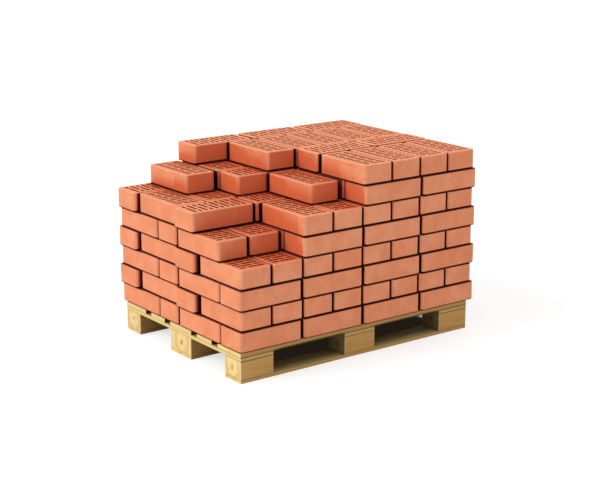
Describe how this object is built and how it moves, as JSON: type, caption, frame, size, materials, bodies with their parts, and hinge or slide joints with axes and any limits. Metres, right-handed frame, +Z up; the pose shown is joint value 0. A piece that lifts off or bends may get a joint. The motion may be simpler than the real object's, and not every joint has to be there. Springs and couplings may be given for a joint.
{
  "type": "pallet of bricks",
  "caption": "Timber pallet loaded with loose-stacked perforated clay bricks in bonded courses, the upper courses stepped down at one corner.",
  "frame": {"origin": "on the floor, under the middle of the load's bounding box", "axes": "+X along the long side, from the stepped end to the full end; -Y is the side with the steps; +Z is up"},
  "size_m": [1.039, 0.764, 0.664],
  "materials": {
    "clay": "wire-cut fired clay, dry and matt",
    "pine": "sawn softwood, unfinished"
  },
  "bodies": {
    "root": {"brick_course_1": "clay", "brick_course_2": "clay", "brick_course_3": "clay", "brick_course_4": "clay", "brick_course_5": "clay", "brick_course_6": "clay", "brick_course_7": "clay", "brick_course_8": "clay", "deck_board_1": "pine", "deck_board_2": "pine", "deck_board_3": "pine", "deck_board_4": "pine", "deck_board_5": "pine", "stringer_left": "pine", "stringer_centre": "pine", "stringer_right": "pine", "block_front_left": "pine", "block_front_centre": "pine", "block_front_right": "pine", "block_middle_left": "pine", "block_middle_centre": "pine", "block_middle_right": "pine", "block_back_left": "pine", "block_back_centre": "pine", "block_back_right": "pine", "bottom_board_front": "pine", "bottom_board_middle": "pine", "bottom_board_back": "pine"}
  },
  "joints": []
}
